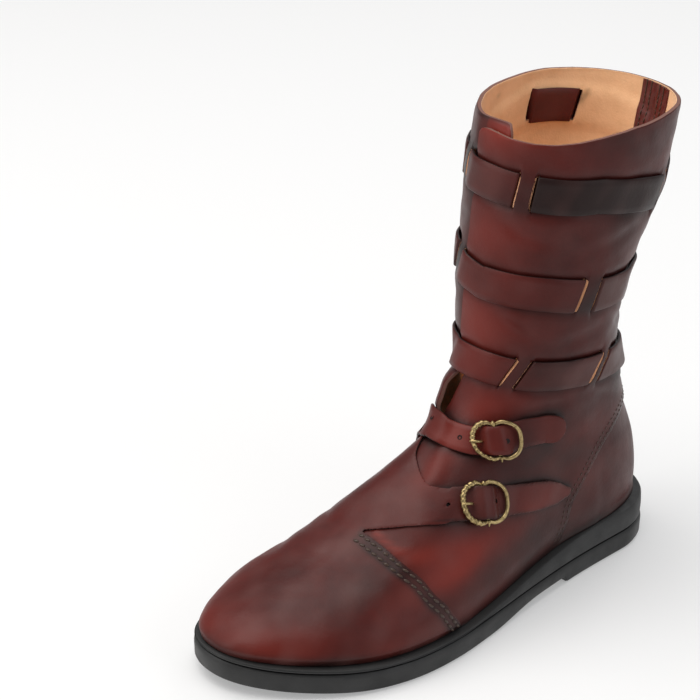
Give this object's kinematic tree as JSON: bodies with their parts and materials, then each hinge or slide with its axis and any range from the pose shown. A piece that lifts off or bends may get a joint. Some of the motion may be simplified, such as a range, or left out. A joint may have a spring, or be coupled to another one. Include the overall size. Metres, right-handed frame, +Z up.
{
  "type": "buckled boot",
  "caption": "Left mid-calf boot in hand-stained leather with woven shaft straps, brass buckles at the instep and a black rubber sole with a low heel.",
  "frame": {"origin": "middle of the boot's box, on the floor", "axes": "-Y to the toe, +Y to the heel, +X to the outer side, +Z up"},
  "size_m": [0.1118, 0.3, 0.2684],
  "materials": {
    "leather": "semi-gloss",
    "strap_leather": "semi-gloss",
    "rubber": "matte",
    "insole_leather": "matte",
    "brass": "antique"
  },
  "bodies": {
    "root": {"upper": "leather", "vamp": "leather", "heel_counter": "leather", "shaft_strap_top": "strap_leather", "shaft_strap_middle": "strap_leather", "shaft_strap_low": "strap_leather", "ankle_strap": "strap_leather", "back_stay": "strap_leather", "outsole": "rubber", "midsole": "rubber", "insole": "insole_leather", "upper_buckle": "brass", "lower_buckle": "brass", "upper_pin": "brass", "lower_pin": "brass"}
  },
  "joints": []
}
